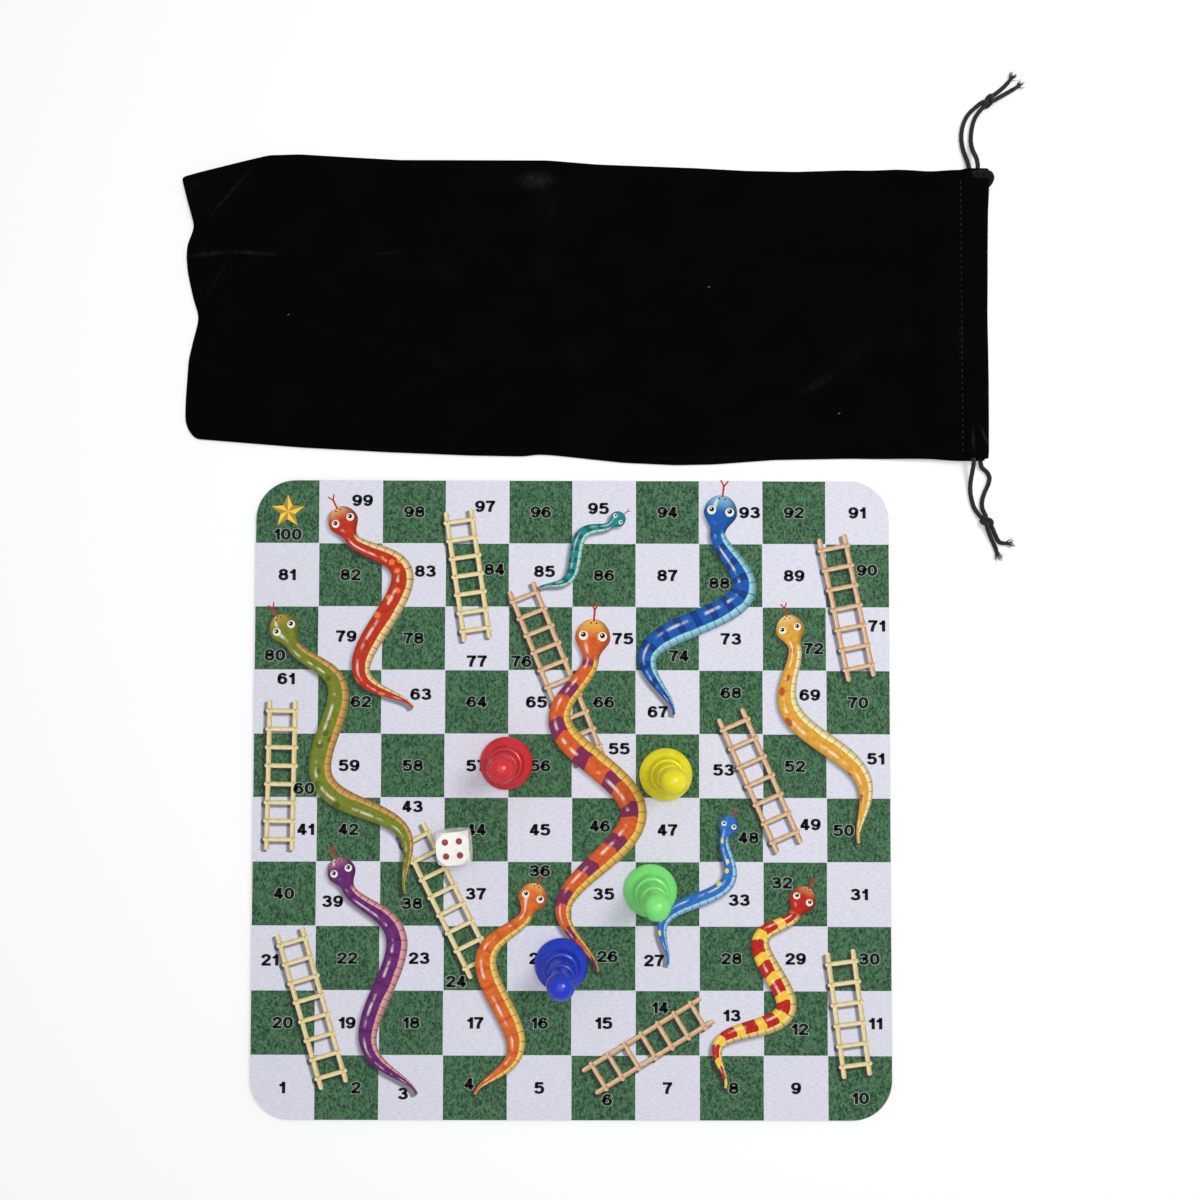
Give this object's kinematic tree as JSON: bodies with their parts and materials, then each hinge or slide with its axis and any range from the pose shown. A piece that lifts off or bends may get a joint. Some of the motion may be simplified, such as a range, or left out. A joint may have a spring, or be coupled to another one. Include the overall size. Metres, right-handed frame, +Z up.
{
  "type": "snakes and ladders set",
  "caption": "Soft square snakes and ladders mat with coloured pawns, a die and a flat velvet drawstring pouch.",
  "frame": {"origin": "centre of the mat's underside, on the table", "axes": "+X to the reader's right across the board, +Y towards the row that holds square 100 and the pouch, +Z up"},
  "size_m": [0.4286, 0.5299, 0.0459],
  "materials": {
    "backing_rubber": "matte foam rubber",
    "mat_cloth": "fine plain weave",
    "green_dye": "speckled print on cloth",
    "wood_dye": "print on cloth",
    "orange_dye": "print on cloth",
    "blue_dye": "print on cloth",
    "gold_dye": "print on cloth",
    "number_ink": "print on cloth",
    "red_plastic": "moulded",
    "yellow_plastic": "moulded",
    "green_plastic": "moulded",
    "blue_plastic": "moulded",
    "white_plastic": "polished",
    "pip_paint": "paint",
    "velvet": "short pile velvet",
    "string": "twisted cord"
  },
  "bodies": {
    "mat": {"mat_backing": "backing_rubber", "mat_cloth": "mat_cloth", "green_squares": "green_dye", "ladders": "wood_dye", "warm_snakes": "orange_dye", "cool_snakes": "blue_dye", "finish_star": "gold_dye"},
    "red_pawn": {"red_pawn": "red_plastic"},
    "yellow_pawn": {"yellow_pawn": "yellow_plastic"},
    "green_pawn": {"green_pawn": "green_plastic"},
    "blue_pawn": {"blue_pawn": "blue_plastic"},
    "die": {"die": "white_plastic", "die_pips": "pip_paint"},
    "pouch": {"pouch_back_panel": "velvet", "pouch_front_panel": "velvet", "pouch_back_casing": "velvet", "pouch_front_casing": "velvet"},
    "upper_string": {"upper_string_held": "string", "upper_strand_left": "string", "upper_strand_right": "string", "upper_knot": "string", "upper_tails": "string"},
    "lower_string": {"lower_string_held": "string", "lower_strand_left": "string", "lower_strand_right": "string", "lower_knot": "string", "lower_tails": "string"}
  },
  "joints": [
    {"name": "red_pawn_lift", "type": "slide", "parent": "mat", "child": "red_pawn", "axis": [0, 0, 1], "range_m": [0, 0.045]},
    {"name": "yellow_pawn_lift", "type": "slide", "parent": "mat", "child": "yellow_pawn", "axis": [0, 0, 1], "range_m": [0, 0.045]},
    {"name": "green_pawn_lift", "type": "slide", "parent": "mat", "child": "green_pawn", "axis": [0, 0, 1], "range_m": [0, 0.045]},
    {"name": "blue_pawn_lift", "type": "slide", "parent": "mat", "child": "blue_pawn", "axis": [0, 0, 1], "range_m": [0, 0.045]},
    {"name": "die_lift", "type": "slide", "parent": "mat", "child": "die", "axis": [0, 0, 1], "range_m": [0, 0.045]},
    {"name": "pouch_lift", "type": "slide", "parent": "mat", "child": "pouch", "axis": [0, 0, 1], "range_m": [0, 0.1]},
    {"name": "upper_string_pull", "type": "slide", "parent": "pouch", "child": "upper_string", "axis": [0, 1, 0], "range_m": [0, 0.12]},
    {"name": "lower_string_pull", "type": "slide", "parent": "pouch", "child": "lower_string", "axis": [0, -1, 0], "range_m": [0, 0.12]}
  ]
}
